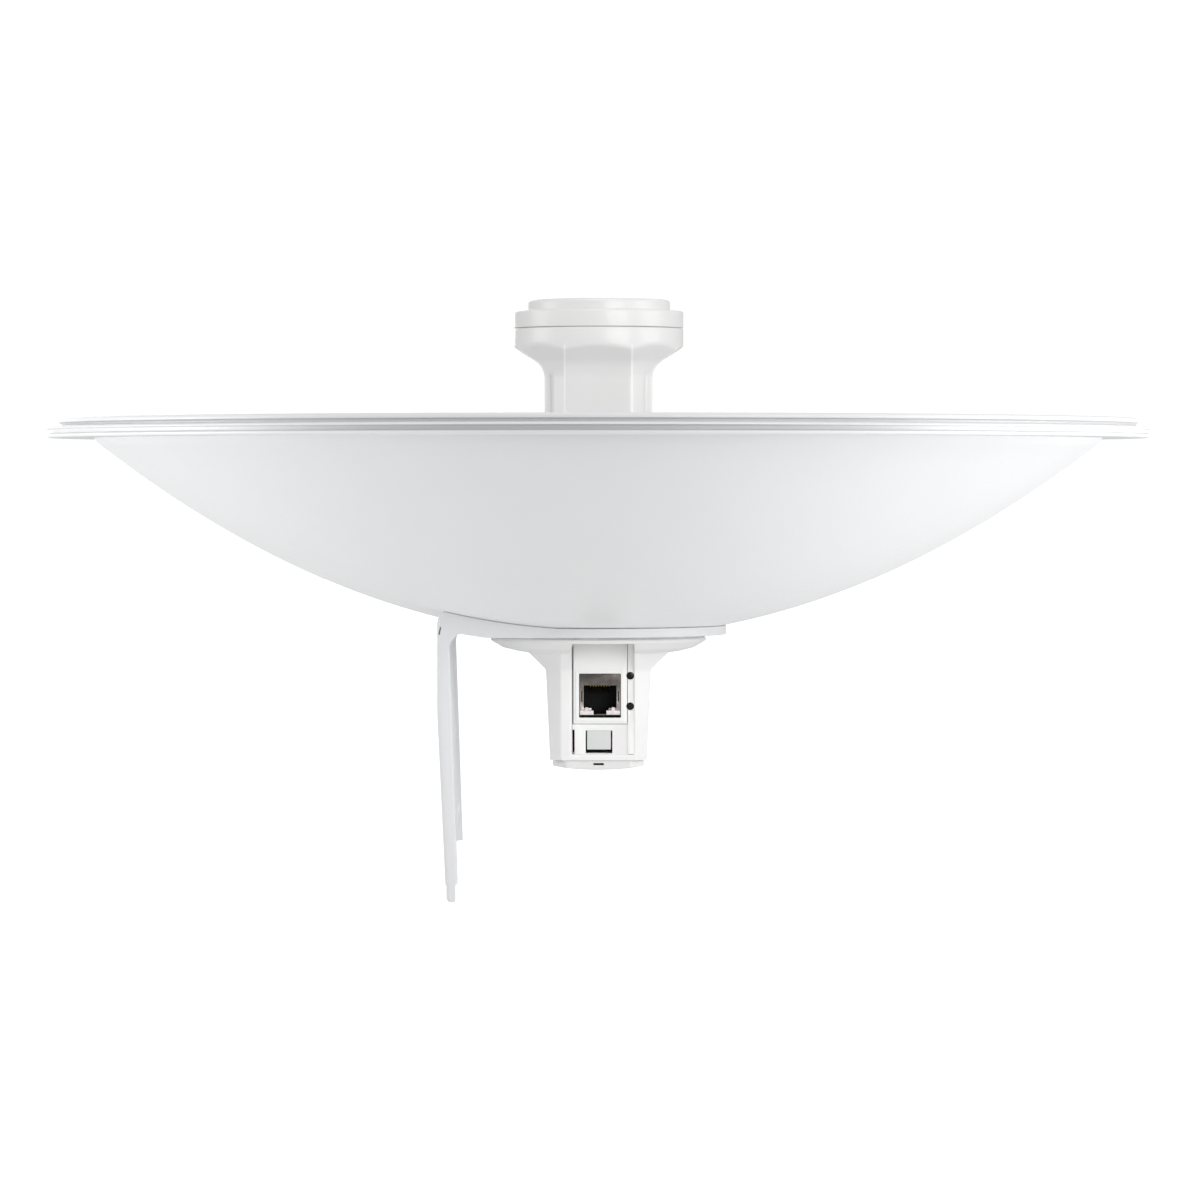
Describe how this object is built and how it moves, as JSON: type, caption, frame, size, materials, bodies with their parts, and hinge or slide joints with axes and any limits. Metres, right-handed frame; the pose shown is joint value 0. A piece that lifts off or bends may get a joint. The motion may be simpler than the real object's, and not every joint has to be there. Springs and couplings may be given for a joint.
{
  "type": "outdoor wireless bridge",
  "caption": "Outdoor point-to-point wireless bridge: parabolic dish reflector with an axial feed, a rear radio housing with a data port, and a bent arm for a pole bracket.",
  "frame": {"origin": "centre of the pivot hole in the web of the mounting arm", "axes": "+Z along the beam, out of the bowl; -Y towards the side with the data port; -X out through the arm's web, away from the radio housing"},
  "size_m": [0.4199, 0.42, 0.227],
  "materials": {
    "dish_paint": "smooth white powder coat",
    "bracket_paint": "white powder coat",
    "housing_plastic": "fine white moulded texture",
    "feed_plastic": "fine white moulded texture",
    "panel_plastic": "smooth white moulding",
    "latch_plastic": "smooth pale grey moulding",
    "spacer_plastic": "natural moulding",
    "gasket_rubber": "flat pale foam rubber",
    "grommet_rubber": "soft grey rubber",
    "thermal_rubber": "soft pad",
    "screw_steel": "zinc plated",
    "shield_steel": "tinned sheet",
    "insert_brass": "knurled",
    "contact_gold": "gold plated",
    "splash_aluminium": "satin",
    "capacitor_metal": "satin can",
    "jack_metal": "nickel plated sheet",
    "jack_black": "black moulding",
    "circuit_board": "solder mask",
    "chip_black": "moulded package",
    "lens_black": "smoked clear",
    "button_black": "smooth",
    "led_plastic": "clear"
  },
  "bodies": {
    "root": {"dish_reflector": "dish_paint", "mount_bracket": "bracket_paint", "dish_washers": "screw_steel", "dish_screws": "screw_steel", "threaded_inserts": "insert_brass", "collar_gasket": "gasket_rubber", "neck_grommet": "grommet_rubber", "rear_housing": "housing_plastic", "rear_end_cap": "housing_plastic", "feed_housing": "feed_plastic", "feed_cap": "feed_plastic", "cap_seal": "gasket_rubber", "radiator_board": "circuit_board", "radiator_screws": "screw_steel", "feed_spacer": "spacer_plastic", "subreflector": "splash_aluminium", "feed_pins": "contact_gold", "feed_tail": "panel_plastic", "light_pipe": "lens_black", "main_board": "circuit_board", "board_screws": "screw_steel", "processor_chip": "chip_black", "memory_chips": "chip_black", "thermal_pad": "thermal_rubber", "processor_shield": "shield_steel", "radio_chip": "chip_black", "rf_shield": "shield_steel", "ethernet_transformer": "chip_black", "power_inductors": "chip_black", "capacitors": "capacitor_metal", "status_led": "led_plastic", "reset_switch": "chip_black", "jack_shell": "jack_metal", "jack_insert": "jack_black", "jack_contacts": "contact_gold"},
    "latch": {"release_latch": "latch_plastic"},
    "button": {"reset_button": "button_black"}
  },
  "joints": [
    {"name": "latch_hinge", "type": "hinge", "parent": "root", "child": "latch", "pos_m": [0.0562, -0.0171, -0.0009], "axis": [1, 0, 0], "range_deg": [0, 6], "stiffness_Nm_per_rad": 0.05},
    {"name": "reset_slide", "type": "slide", "parent": "root", "child": "button", "axis": [0, 1, 0], "range_m": [0, 0.0006], "stiffness_N_per_m": 1500}
  ]
}
